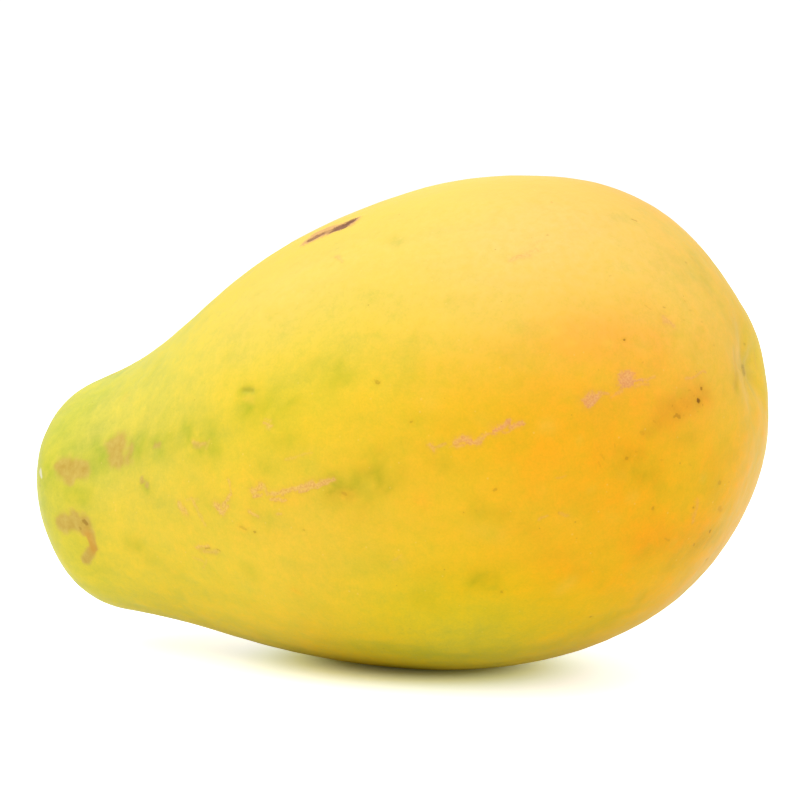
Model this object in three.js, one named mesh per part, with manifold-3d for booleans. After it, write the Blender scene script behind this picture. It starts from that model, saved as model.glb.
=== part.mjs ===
// Papaya: one whole ripe fruit of the small pear-shaped (Solo / Holland) type,
// lying on its side on a small flat spot.
//
// Millimetres, +Z up.  The long axis runs along X: the stalk end (the neck) is
// at -X and the blossom end is at +X.  The origin is under the middle of the
// fruit, on the surface that it rests on.
//
// The skin is one closed surface.  It is wrapped round a gently rising core
// line: u runs from 0 at the stalk pole to 1 at the blossom pole, and theta
// turns round the core line, 0 facing -Y and 90 degrees facing up.
import * as THREE from "three";
import { mergeVertices } from "three/addons/utils/BufferGeometryUtils.js";
import Module from "manifold-3d";

// ---- driving dimensions (mm, degrees) --------------------------------------
const HALF_LENGTH = 90;              // half of the core line's run along X
// control heights of the girth curve (how round the fruit is along u) and of
// the core line's height above the lowest point, both uniform cubic B-splines
const GIRTH = [92.8, 81.0, 69.0, 57.6, 44.25, 42.75, 48.0, 53.6,
               57.7, 61.7, 65.4, 69.4, 71.4, 72.3, 73.4, 74.5];
const CORE_HEIGHT = [25.0, 36.0, 40.1, 46.0, 53.95, 59.65, 68.45, 74.2, 83.0];

const LOBES = 5;                     // the five carpels show as soft ribs
const LOBE_PHASE = 18.75;            // the first rib's crest
const LOBE_NECK = 0.012;             // rib height as a share of the radius
const LOBE_BELLY = 0.0218;
const LOBE_END = 0.0534;

const END_HOLLOW_DEPTH = 2.9;        // blossom end: a shallow dimple
const END_HOLLOW_REACH = 8.5;
const END_LIFT = 0.7;                // the rear rib stands a little proud there
const END_LIFT_AT = 165;

const STALK_HOLLOW_DEPTH = 2.0;      // stalk end: a shallow hollow that holds
const STALK_HOLLOW_REACH = 10;       // the round corky scar of the stalk
const STALK_SCAR_RADIUS = 5.6;
const STALK_SCAR_RISE = 0.8;

// slow unevenness of a grown fruit: [waves per mm, turns, phase, height]
const LUMPS = [[0.031, 2, 0.4, 0.30], [0.052, 3, 2.1, 0.22], [0.024, 1, 4.0, 0.30],
               [0.075, 4, 5.2, 0.12], [0.061, 2, 1.3, 0.16]];

const REST_LEVEL = 1.0;              // height of the flat spot's plane
const CENTRE_X = 0.13;                 // puts the origin under the box's middle
const CENTRE_Y = 0.35;

const RINGS = 58;                    // facets along the fruit
const SEGMENTS = 60;                 // facets round it, 12 to a rib

// ---- curves ----------------------------------------------------------------
function spline(control, t) {
  const spans = control.length - 3;
  const s = Math.min(Math.max(t, 0), 1) * spans;
  const i = Math.min(Math.floor(s), spans - 1);
  const f = s - i, g = 1 - f;
  return (g * g * g * control[i] + (3 * f * f * f - 6 * f * f + 4) * control[i + 1]
    + (-3 * f * f * f + 3 * f * f + 3 * f + 1) * control[i + 2] + f * f * f * control[i + 3]) / 6;
}

function slope(control, t) {
  const spans = control.length - 3;
  const s = Math.min(Math.max(t, 0), 1) * spans;
  const i = Math.min(Math.floor(s), spans - 1);
  const f = s - i, g = 1 - f;
  return spans * (-3 * g * g * control[i] + (9 * f * f - 12 * f) * control[i + 1]
    + (-9 * f * f + 6 * f + 3) * control[i + 2] + 3 * f * f * control[i + 3]) / 6;
}

function ease(from, to, x) {
  const t = Math.min(Math.max((x - from) / (to - from), 0), 1);
  return t * t * (3 - 2 * t);
}

// ---- the skin --------------------------------------------------------------
function skin(u, theta) {
  const x = -HALF_LENGTH * Math.cos(Math.PI * u);
  const round = Math.sin(Math.PI * u);
  const radius = round * spline(GIRTH, u);

  const along = (x + HALF_LENGTH) / (2 * HALF_LENGTH);
  const height = spline(CORE_HEIGHT, along);
  const rise = slope(CORE_HEIGHT, along) / (2 * HALF_LENGTH);
  const norm = Math.hypot(1, rise);
  const tx = 1 / norm, tz = rise / norm;        // along the core line
  const nx = -tz, nz = tx;                      // up, square to it

  const crest = ((1 + Math.cos(LOBES * (theta - LOBE_PHASE * Math.PI / 180))) / 2) ** 0.7 - 0.6;
  const lobe = LOBE_NECK + (LOBE_BELLY - LOBE_NECK) * ease(0.2, 0.6, u)
    + (LOBE_END - LOBE_BELLY) * ease(0.80, 0.97, u);
  let lump = 0;
  for (const [k, turns, phase, size] of LUMPS) lump += size * Math.sin(k * x + turns * theta + phase);
  const r = radius * (1 + lobe * crest) + lump * round;

  let push;                                     // along the core line
  if (u > 0.5) {
    const rear = (1 + Math.cos(theta - END_LIFT_AT * Math.PI / 180)) / 2;
    push = -END_HOLLOW_DEPTH * Math.exp(-((radius / (END_HOLLOW_REACH * (1 + 0.35 * crest))) ** 2))
      + END_LIFT * Math.exp(-(((radius - 14) / 7) ** 2)) * rear * rear;
  } else {
    push = STALK_HOLLOW_DEPTH * Math.exp(-((radius / STALK_HOLLOW_REACH) ** 2))
      - STALK_SCAR_RISE * (1 - ease(STALK_SCAR_RADIUS - 1, STALK_SCAR_RADIUS + 1, radius));
  }
  const s = Math.sin(theta), c = Math.cos(theta);
  return [x + r * s * nx + push * tx - CENTRE_X,
          -r * c - CENTRE_Y,
          height + r * s * nz + push * tz - REST_LEVEL];
}

// A closed net of rings between two pole points.  The rings crowd towards the
// poles, where the surface bends most.
function wholeFruit() {
  const points = [...skin(0, 0)];
  for (let i = 1; i < RINGS; i++) {
    const v = i / RINGS;
    const u = v - 0.6 * Math.sin(2 * Math.PI * v) / (2 * Math.PI);
    for (let j = 0; j < SEGMENTS; j++) points.push(...skin(u, 2 * Math.PI * j / SEGMENTS));
  }
  points.push(...skin(1, 0));

  const at = (i, j) => 1 + (i - 1) * SEGMENTS + (j % SEGMENTS);
  const last = points.length / 3 - 1;
  const faces = [];
  for (let j = 0; j < SEGMENTS; j++) {
    faces.push(0, at(1, j), at(1, j + 1));
    for (let i = 1; i < RINGS - 1; i++) {
      faces.push(at(i, j), at(i + 1, j), at(i + 1, j + 1));
      faces.push(at(i, j), at(i + 1, j + 1), at(i, j + 1));
    }
    faces.push(at(RINGS - 1, j), last, at(RINGS - 1, j + 1));
  }
  const geometry = new THREE.BufferGeometry();
  geometry.setAttribute("position", new THREE.Float32BufferAttribute(points, 3));
  geometry.setIndex(faces);
  return geometry;
}

// ---- the flat spot ---------------------------------------------------------
const wasm = await Module();
wasm.setup();

function solid(geometry) {
  const bare = geometry.clone();
  bare.deleteAttribute("normal");
  bare.deleteAttribute("uv");
  const merged = mergeVertices(bare, 1e-4);
  return new wasm.Manifold(new wasm.Mesh({
    numProp: 3,
    vertProperties: new Float32Array(merged.attributes.position.array),
    triVerts: new Uint32Array(merged.index.array),
  }));
}

function geometryOf(body) {
  const mesh = body.getMesh();
  const geometry = new THREE.BufferGeometry();
  geometry.setAttribute("position", new THREE.BufferAttribute(new Float32Array(mesh.vertProperties), 3));
  geometry.setIndex(new THREE.BufferAttribute(new Uint32Array(mesh.triVerts), 1));
  geometry.computeVertexNormals();
  return geometry;
}

// the fruit has settled on a small flat: everything under Z = 0 is cut away
const below = new THREE.BoxGeometry(400, 300, 40);
below.translate(0, 0, -20);
const fruit = geometryOf(solid(wholeFruit()).subtract(solid(below)));

// ---- the part --------------------------------------------------------------
const rind = new THREE.MeshStandardMaterial({ color: 0xefb72c, roughness: 0.45, metalness: 0 });
const papaya = new THREE.Mesh(fruit, rind);
papaya.name = "papaya";

const group = new THREE.Group();
group.add(papaya);

export default group;
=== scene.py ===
import math

import bmesh
import bpy
import numpy as np
from mathutils import Matrix, Vector


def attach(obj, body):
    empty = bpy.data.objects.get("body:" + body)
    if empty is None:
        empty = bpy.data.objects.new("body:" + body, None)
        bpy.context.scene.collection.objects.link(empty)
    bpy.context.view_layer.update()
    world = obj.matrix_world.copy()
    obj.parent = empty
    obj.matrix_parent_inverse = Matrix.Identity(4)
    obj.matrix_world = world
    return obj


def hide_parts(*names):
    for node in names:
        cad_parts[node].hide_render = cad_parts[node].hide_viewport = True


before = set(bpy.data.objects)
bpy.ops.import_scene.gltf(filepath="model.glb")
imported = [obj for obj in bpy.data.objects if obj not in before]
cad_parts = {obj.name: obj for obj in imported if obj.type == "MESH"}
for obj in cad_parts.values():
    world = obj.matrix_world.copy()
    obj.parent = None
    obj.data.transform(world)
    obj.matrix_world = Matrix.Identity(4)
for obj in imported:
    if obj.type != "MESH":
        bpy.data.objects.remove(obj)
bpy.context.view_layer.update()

# ---------------------------------------------------------------------------
# The skin's shape: the same driving numbers as the CAD solid, in millimetres
# ---------------------------------------------------------------------------
HALF_LENGTH = 90.0
GIRTH = [92.8, 81.0, 69.0, 57.6, 44.25, 42.75, 48.0, 53.6,
         57.7, 61.7, 65.4, 69.4, 71.4, 72.3, 73.4, 74.5]
CORE_HEIGHT = [25.0, 36.0, 40.1, 46.0, 53.95, 59.65, 68.45, 74.2, 83.0]
LOBES, LOBE_PHASE = 5, math.radians(18.75)
LOBE_NECK, LOBE_BELLY, LOBE_END = 0.012, 0.0218, 0.0534
END_HOLLOW_DEPTH, END_HOLLOW_REACH = 2.9, 8.5
END_LIFT, END_LIFT_AT = 0.7, math.radians(165)
STALK_HOLLOW_DEPTH, STALK_HOLLOW_REACH = 2.0, 10.0
STALK_SCAR_RADIUS, STALK_SCAR_RISE = 5.6, 0.8
LUMPS = [(0.031, 2, 0.4, 0.30), (0.052, 3, 2.1, 0.22), (0.024, 1, 4.0, 0.30),
         (0.075, 4, 5.2, 0.12), (0.061, 2, 1.3, 0.16)]
SHIFT = np.array([0.13, 0.35, 1.0])

# ---------------------------------------------------------------------------
# Marks on the skin, in millimetres in the part's frame
# ---------------------------------------------------------------------------
# Each row: one end x y z, other end x y z, half width, strength.
CORK_MARKS = [
    (-18.9, -50.7, 48.5, -18.6, -50.3, 45.3, 0.34, 0.61), (-19, -50.1, 45, -21.6, -48.5, 41.9, 0.49, 0.87),
    (-23.7, -47.9, 42.4, -22, -48, 40.5, 0.73, 1), (-22.2, -47.9, 40.2, -20, -49.1, 42.1, 0.44, 0.96),
    (-35.3, -43.1, 41.2, -33.6, -43.4, 39.5, 0.83, 0.7), (-31.4, -45.1, 42.9, -29.7, -45.3, 40.9, 0.39, 0.6),
    (-29.9, -45.1, 40.4, -27.9, -44.9, 37.2, 0.39, 0.35), (-33.1, -44.3, 42.4, -28.6, -46.2, 43, 0.29, 0.26),
    (-12, -52.5, 46.5, -9.4, -53.5, 48, 0.68, 0.87), (-9.1, -53.5, 47.9, -8, -53.5, 46.1, 0.49, 0.61),
    (-12, -52.3, 45.4, -9.6, -53, 45.9, 0.39, 1), (-6.7, -53.8, 46.1, 0.2, -55.5, 47.9, 0.63, 0.87),
    (-0.2, -55.4, 47.6, 4.5, -56.4, 49.4, 0.68, 1), (3.8, -56.3, 49.1, 9.8, -57.2, 50.8, 0.49, 1),
    (-7.2, -53.4, 44.9, -3.1, -54.3, 45.1, 0.32, 0.9), (0.9, -55.4, 47, 5.6, -56.4, 48.7, 0.34, 1),
    (-13.7, -50.9, 41.4, -11.7, -51.1, 40.4, 0.44, 0.72), (-5.9, -52.9, 41.7, -4.9, -53.1, 41.7, 0.39, 0.52),
    (32.8, -57.8, 59.2, 33.8, -57.7, 58.1, 0.54, 0.61), (34.5, -57.6, 58.9, 36, -57.4, 59.3, 0.32, 0.43),
    (38.4, -57.1, 59.8, 39.9, -56.8, 61, 0.59, 0.78), (39.7, -56.8, 60.8, 41.5, -56.5, 60.3, 0.68, 1),
    (38.4, -57, 59.1, 40.3, -56.7, 59.6, 0.44, 0.61), (41.3, -56.5, 60.1, 43.3, -56.1, 60.1, 0.49, 0.78),
    (43.6, -56, 60.5, 45.2, -55.6, 61.8, 0.44, 0.61), (45, -55.7, 61.8, 46.6, -55.3, 62.5, 0.29, 0.43),
    (46.7, -55.2, 62.7, 47.9, -54.9, 63.2, 0.73, 1), (47.9, -54.9, 63.2, 49.8, -54.3, 64.7, 0.54, 0.91),
    (50.1, -54.3, 63.6, 52.1, -53.6, 64, 0.54, 0.78), (48.6, -54.7, 62.2, 50.3, -54.2, 63, 0.32, 0.43),
    (64.8, -47.5, 68.9, 65.8, -46.8, 69.6, 0.98, 0.87), (65.7, -46.9, 68.5, 67, -45.9, 70, 0.73, 1),
    (66.9, -46, 69.8, 68.7, -44.6, 70.6, 0.34, 0.5), (71.1, -41.9, 74.1, 73, -40.1, 74.4, 0.88, 0.87),
    (71.2, -42.1, 73, 72.6, -40.7, 73.7, 1.07, 1), (71.7, -41.9, 72, 72.6, -41, 72.6, 0.88, 1),
    (72.8, -40.7, 72.8, 74.6, -38.9, 73.1, 0.44, 1), (74.6, -38.9, 73.1, 76.7, -36.3, 73.8, 0.29, 0.43),
    (69.4, -44.1, 69.9, 71.2, -42.5, 70.9, 0.39, 0.43), (73.7, -40.2, 71.5, 75.6, -37.9, 72.4, 0.39, 0.35),
    (81.9, -29.4, 73.1, 84.7, -23.5, 74.3, 0.29, 0.43), (76.8, -29.7, 85.9, 77.5, -28.9, 85.5, 0.78, 0.53),
    (77.5, -28.9, 85.5, 78.6, -28.2, 84.3, 0.63, 0.49), (78.2, -28.4, 84.8, 79.2, -27.8, 83.7, 0.39, 0.22),
    (-8.5, -54.1, 61.8, -6.3, -54.7, 62, 0.34, 0.81), (-8.3, -54, 62.9, -6.8, -54.4, 63.1, 0.29, 0.35),
    (-7.8, -54.4, 60.9, -6.6, -54.7, 61.1, 0.29, 0.35), (-2.7, -55.7, 54, 0.3, -56.3, 55, 0.29, 0.35),
    (0.3, -56.3, 55, 4.5, -57.1, 56.1, 0.29, 0.3), (45.1, -40.2, 98.7, 48.2, -38.3, 99.9, 0.68, 0.62),
    (46.4, -37.4, 101.1, 50.5, -33.8, 103.1, 0.54, 0.19), (47.6, -37.8, 100.5, 49.6, -36.8, 100.9, 0.59, 0.32),
    (-30.2, -46.2, 56.1, -28.4, -47.1, 56.4, 0.54, 0.52), (-27.8, -47.4, 55.6, -25.9, -48.2, 56.4, 0.44, 0.43),
    (0.5, -33.2, 99.2, 2.8, -35.9, 97.9, 0.34, 0.87), (-25.8, -48.4, 55.1, -24.6, -48.7, 57.2, 0.34, 0.26),
    (87.6, 7.8, 76.6, 88.4, 6.9, 73.2, 0.29, 0.3), (82.2, -23.9, 41.1, 83.4, -24.9, 45.7, 0.54, 0.26),
    (-32.4, -40.8, 30.8, -27.7, -43, 31.8, 0.39, 0.76), (-30.1, -41.3, 30.1, -25.5, -43.3, 30.8, 0.34, 0.39),
    (-34.2, -39.1, 28.7, -31.3, -39.9, 27.9, 0.34, 0.3), (-29.9, -40.5, 28.1, -31.5, -38.8, 26, 0.29, 0.26),
    (59.3, -48.1, 44.7, 60.3, -47.3, 43.8, 0.29, 0.26), (55.1, -49.4, 43, 56.8, -49, 43.8, 0.29, 0.31),
    (37.1, -57.2, 58.6, 38.4, -57, 59.1, 0.24, 0.26), (58.8, -49.9, 52.4, 60.9, -49, 53.1, 0.24, 0.22),
    (22.2, -52.4, 32.7, 24.2, -52.8, 33.8, 0.34, 0.22),
]
DARK_SPECKS = [
    (70.7, -39.4, 81.8, 70.7, -39.4, 81.8, 0.34, 0.74), (84, -26.8, 68.1, 84.1, -26.8, 67.9, 0.54, 0.98),
    (84.4, -25.6, 70.7, 84.4, -25.6, 70.5, 0.39, 0.65), (80.8, -32.5, 65.2, 81.2, -31.8, 64.7, 0.44, 0.38),
    (80.3, -33.2, 64.8, 80.9, -32.3, 65.2, 0.29, 0.38), (19.8, -56.7, 72.3, 20.3, -56.8, 72.1, 0.39, 0.38),
    (19.2, -56.6, 72.7, 20.7, -56.8, 72.4, 0.24, 0.24), (28.4, -58.1, 64, 28.6, -58.1, 64.1, 0.29, 0.35),
    (72.1, -41.8, 56.4, 72.3, -41.6, 56.3, 0.34, 0.34), (76.2, -35.1, 44.8, 76.2, -34.9, 44.6, 0.37, 0.33),
    (82.6, -25.3, 44, 82.6, -25.3, 44, 0.29, 0.43), (83.8, -15.4, 37.7, 83.8, -15.2, 37.4, 0.37, 0.59),
    (86, -16, 43, 86.1, -14.7, 42.4, 0.59, 0.18), (86.8, -19.3, 49.3, 86.9, -18.9, 49, 0.49, 0.25),
    (81.2, -19.3, 35, 81.1, -19, 34.7, 0.34, 0.32), (80.8, -6.3, 29.8, 80.7, -6.8, 29.7, 0.44, 0.35),
    (44.7, -45.2, 25.9, 44.9, -45.2, 26, 0.34, 0.3), (60.2, -29.6, 18.7, 60.4, -29.4, 18.8, 0.32, 0.46),
    (46.3, -54, 49.6, 46.7, -54, 49.7, 0.34, 0.3), (64.7, -14.5, 107.5, 65.7, -13.9, 107, 0.22, 0.43),
    (-13.3, -49.4, 36.7, -13, -49.5, 36.7, 0.34, 0.43), (-17.2, -48.7, 37.6, -15.6, -49, 37.1, 0.37, 0.19),
    (-67.9, -30.2, 34, -67.3, -30.2, 33.5, 0.63, 0.57), (-69.3, -29.5, 32.2, -69.1, -29.5, 31.9, 0.39, 0.3),
    (-83.6, -7.3, 62.2, -83.3, -7.1, 62.5, 0.39, 0.27), (11.9, -56.8, 47.6, 12.5, -56.8, 47.4, 0.44, 0.24),
    (0.5, -53, 38.4, 0.7, -53, 38.3, 0.29, 0.25), (-5.2, -44.8, 23, -5, -44.9, 23, 0.2, 0.17),
    (75, -39.6, 61.7, 75.2, -39.3, 61.4, 0.34, 0.15), (74.6, -33, 37.5, 74.6, -33, 37.5, 0.24, 0.11),
    (77.3, -29.3, 37.5, 77.9, -28, 36.9, 0.29, 0.16), (73.8, -40.4, 57.6, 74, -40.2, 57.5, 0.22, 0.17),
    (65.6, -33.9, 95.3, 65.9, -33.6, 95.3, 0.22, 0.15), (47.9, -21.6, 111.3, 48.1, -21.8, 111.1, 0.22, 0.4),
    (50.5, -32.4, 104.2, 50.7, -32.3, 104.1, 0.24, 0.28), (74.4, -37.9, 77, 74.5, -37.8, 77, 0.24, 0.13),
    (82.8, -29, 54, 83, -28.7, 53.7, 0.24, 0.11), (-29.4, -42, 31, -27.8, -42.7, 31.3, 0.2, 0.34),
    (-25.8, -43.4, 31.3, -24.8, -43.6, 30.9, 0.22, 0.34), (-27.7, -42.2, 30.1, -27.1, -42.6, 30.4, 0.2, 0.11),
    (73.1, -32, 89, 74.3, -31.4, 88, 0.2, 0.11), (1.2, -56.1, 64.5, 1.5, -56.1, 64.4, 0.22, 0.11),
    (9.2, -57.7, 56, 9.4, -57.7, 56, 0.22, 0.11), (41.9, -54, 44.8, 42.1, -54, 44.8, 0.22, 0.11),
    (39.2, -54.5, 44.4, 39.4, -54.4, 44.3, 0.22, 0.34), (58.9, -48.2, 44.7, 59, -48.1, 44.4, 0.22, 0.11),
    (76.2, -28.1, 88.5, 76.5, -27.8, 88.4, 0.24, 0.3), (79.1, -20.9, 89.7, 79.2, -20.9, 89.5, 0.24, 0.15),
    (80.3, -21.3, 87.6, 80.5, -20.9, 87.5, 0.29, 0.13), (79.9, -24.7, 85.5, 80, -24.5, 85.5, 0.24, 0.11),
    (82.5, -19.4, 84.9, 82.7, -19, 84.9, 0.24, 0.11), (76.7, -7.2, 98.7, 76.8, -6.8, 98.6, 0.29, 0.11),
    (76.4, -11.3, 97.8, 76.6, -10.7, 97.8, 0.24, 0.18), (85, -18.7, 79.7, 85.1, -18.3, 79.7, 0.24, 0.13),
    (86.8, 2.2, 78.9, 87, 2.6, 78.7, 0.34, 0.25), (82.4, -29.2, 70.4, 82.6, -28.9, 70.4, 0.22, 0.15),
    (81.3, -31.4, 68.7, 81.4, -31.2, 68.6, 0.2, 0.13), (83.4, -27.8, 69.2, 83.4, -27.8, 69.1, 0.22, 0.17),
    (82.3, -30, 66.8, 82.3, -30, 66.8, 0.24, 0.17), (84, -27.2, 65.7, 84, -27.2, 65.7, 0.2, 0.2),
    (80.1, -33.3, 67.4, 80, -33.4, 67.2, 0.2, 0.25), (80.7, -31.9, 70, 80.7, -31.9, 70, 0.17, 0.1),
    (84.7, -25.7, 67.2, 84.7, -25.8, 66.9, 0.17, 0.34), (81.8, -30.9, 65.1, 82, -30.6, 65.1, 0.2, 0.11),
    (74.6, -39.9, 61.9, 74.9, -39.6, 61.4, 0.29, 0.13), (76.9, -37.5, 64.2, 77.3, -37.1, 63.7, 0.24, 0.11),
    (67.4, -45.6, 57.3, 68.1, -45, 56.3, 0.22, 0.11), (67, -45.7, 55.7, 67.3, -45.3, 54.7, 0.22, 0.11),
    (78.1, -35.6, 55.6, 78.3, -35.4, 55.5, 0.24, 0.11), (70, -43.9, 59.5, 70.1, -43.8, 59, 0.2, 0.1),
    (41.7, -50.3, 33.6, 41.8, -50.1, 33.3, 0.22, 0.11),
]
RUB_SCAR = [
    (-5, -20.9, 104.9, -2, -19.7, 106.5, 1.83, 1), (-6, -21.1, 104.4, -2.9, -21.1, 105.5, 1.59, 1),
    (-11.7, -20.9, 102.2, -9, -20.7, 103.4, 1.46, 0.8), (-9.5, -20.8, 103.2, -6.2, -21, 104.4, 1.34, 0.45),
]
RUB_EDGE = [
    (-12, -20.8, 102.2, -1.8, -20.3, 106.3, 2.68, 1), (-11.4, -18.6, 103.4, -7.6, -19, 104.7, 2.44, 0.9),
]
RUB_HALO = [
    (-16.8, -8.1, 104.1, -7.3, -7.5, 108.2, 3.9, 1),
]
TAN_PATCHES = [
    (-74.2, -28.4, 46.2, -68.3, -30, 46.4, 2.93, 1), (-76.3, -27.5, 46.8, -71.9, -29.5, 43.8, 1.95, 0.78),
    (-56.7, -32.6, 53.6, -57.3, -33.1, 50.6, 3.42, 0.9), (-59.2, -31.7, 52.7, -55.8, -34, 49.8, 2.93, 0.85),
    (-52.2, -35, 53.4, -52.6, -35.5, 50.1, 1.95, 0.65), (-74.9, -28.5, 33, -67.9, -30.1, 33.5, 2.68, 0.97),
    (-70.8, -29.8, 35.1, -68.1, -29.6, 31.8, 1.95, 0.96), (-66.7, -29.8, 31.4, -65.7, -28.7, 27.4, 1.34, 0.95),
    (-66.3, -28.6, 27.3, -69.4, -26.7, 23.9, 1.59, 1), (-43.6, -39.4, 54.4, -41.7, -40.5, 54.3, 0.98, 0.76),
    (-29.9, -46.4, 55.6, -25.8, -48.3, 56.2, 0.98, 0.49), (-48.2, -37.8, 46, -45.5, -38.9, 43.9, 0.73, 0.9),
    (-31.3, -40.9, 30.2, -26.1, -42.9, 30.5, 1.1, 0.42), (-71.5, -29.5, 34, -76.5, -26.6, 28.5, 1.22, 0.24),
]
GREEN_PATCHES = [
    (-77.6, -23, 54.6, -66.4, -19.1, 64.5, 4.88, 0.28), (-67.3, -17.3, 65.3, -52.5, -24.7, 70.2, 3.42, 0.24),
    (-63.9, -19, 66.1, -60.1, -23.1, 65.2, 1.95, 0.46), (-79, -26.7, 45.6, -60.1, -32.1, 49.9, 4.88, 0.71),
    (-71.1, -30, 40.9, -67.4, -30.8, 39.2, 3.17, 0.72), (-65.8, -29.5, 50.8, -38.1, -42.4, 54.7, 3.17, 0.8),
    (-32.7, -44.9, 57, -24.5, -48.8, 56.8, 3.66, 1), (-32.1, -44.8, 59.3, -24.2, -48.7, 59.4, 2.2, 0.72),
    (-47.2, -38.3, 44.9, -45.2, -39, 43.2, 1.46, 0.8), (-54.3, -32.1, 29.4, -51.8, -32.9, 29.2, 1.95, 0.72),
    (-15.5, -50.3, 68.8, -12.3, -51.4, 69, 1.71, 0.95), (-14.5, -51.7, 64.6, -9.4, -53.3, 65.5, 2.68, 0.92),
    (-9.5, -53.2, 65.8, -2.2, -54.9, 67.1, 2.93, 0.78), (-15.5, -51.7, 62.9, -11.5, -53.1, 62.6, 1.95, 0.43),
    (8.5, -55.1, 74.1, 11.4, -56.1, 72.1, 3.42, 0.72), (11.9, -56.3, 71.6, 14.1, -56.8, 70.4, 2.44, 0.12),
    (14.2, -57.4, 49.7, 20.2, -57.9, 52.3, 4.88, 1), (8.8, -56.8, 48.6, 14.2, -57.3, 49.4, 3.66, 0.87),
    (16.8, -58, 53.1, 20.6, -57.8, 51.4, 2.93, 0.56), (-8.5, -54.2, 52.2, -7.6, -54.4, 51.6, 1.95, 0.39),
    (-5.1, -55.2, 59, -0.8, -56.2, 58.8, 2.93, 0.51), (1.4, -56.5, 61.2, 6.6, -57.3, 60.2, 2.2, 0.1),
    (-17.5, -43.9, 26.8, -16.2, -44.2, 26.5, 2.2, 0.6), (40.3, -48.4, 29.2, 42.7, -47.6, 28.7, 2.2, 1),
    (37.9, -48.1, 27.6, 39.4, -47.2, 26.7, 1.46, 0.55), (40.9, -54.5, 45.9, 44.2, -53.6, 45.5, 2.2, 0.35),
    (43.7, -53.6, 45, 47, -52.5, 43.8, 2.44, 0.46), (34.5, -57.4, 55.5, 36.2, -57.1, 54.9, 2.2, 0.3),
    (72.8, -41.1, 55.4, 75.8, -37.7, 52.6, 2.93, 0.66), (75.5, -38.1, 52.6, 77, -35.9, 50.2, 2.2, 0.58),
    (74.7, -31.9, 36.2, 72.4, -32, 32.7, 2.2, 0.32), (76.5, -30.3, 37.2, 80.6, -20.6, 35, 2.44, 0.21),
    (77.9, -22.1, 31.6, 84.3, -11.9, 36.9, 2.93, 0.56), (81.7, -3.6, 30.8, 82.5, 0.2, 32.1, 0.98, 0.35),
    (79.6, -10.6, 93.8, 86.5, -5.5, 82.4, 2.93, 0.23), (75.6, -4.9, 100.4, 80, -8.3, 94.1, 2.2, 0.46),
    (87.1, -8.4, 77.1, 89, -12.8, 70.3, 2.2, 0.31), (80.6, -32.7, 61, 83.2, -28.9, 59.9, 1.95, 0.32),
    (69.8, -22.7, 22.2, 51.7, -25.2, 11.8, 2.93, 0.42), (34.8, -31.7, 9.8, 51.4, -24.2, 11.2, 2.2, 0.27),
    (-1.6, -33.4, 10, 23.1, -32.9, 8.8, 2.93, 0.43), (13.5, -32.2, 103.6, 16.5, -34.9, 102.3, 1.22, 0.61),
    (-79.4, -21.7, 22.7, -73.2, -12.2, 11.2, 3.17, 0.29), (-36.2, -43.6, 49.3, -26.9, -46.9, 43, 2.93, 0.15),
    (-45.4, -38.7, 41.2, -39.4, -40.3, 37, 2.44, 0.1), (-12.1, -51.5, 42, -8.2, -51.9, 40, 2.44, 0.32),
    (50.9, -50.4, 40.7, 55.5, -47.2, 37.1, 2.44, 0.1), (-4.7, -43.4, 20.7, 2.6, -42.8, 18.3, 2.44, 0.2),
    (26.2, -47.1, 23.3, 32.5, -44.6, 21, 2.44, 0.27), (61.4, -48.1, 49.6, 65, -44.9, 45, 2.2, 0.12),
    (51.6, -52.6, 50.7, 53.4, -51.2, 47.4, 1.95, 0.1), (84.2, -25.9, 51.2, 85.9, -18.6, 45.1, 2.2, 0.17),
    (31.5, -57.8, 64.6, 37.6, -57.2, 63, 1.95, 0.1), (-48.8, -32.5, 26, -40.1, -33.9, 23, 2.93, 0.4),
    (-35.1, -33.4, 19.6, -17.5, -37.7, 17.6, 2.44, 0.2), (24.4, -48.7, 25.6, 35.5, -46.7, 24.6, 2.2, 0.16),
    (18.8, -52.4, 32.6, 16.7, -51.7, 31, 2.2, 0.12), (-4.5, -49.1, 30.8, -2.7, -47.8, 27.3, 2.44, 0.1),
    (67.4, -45.6, 57.3, 68.3, -44.6, 54.7, 1.46, 0.2), (-83.5, -24.1, 37.7, -79.4, -21.7, 22.7, 2.93, 0.23),
    (85.1, -24.6, 69.1, 86.5, -21.7, 67.3, 1.22, 0.18), (78.6, -35.3, 67.6, 82.7, -29.1, 68.3, 2.2, 0.24),
]
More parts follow.
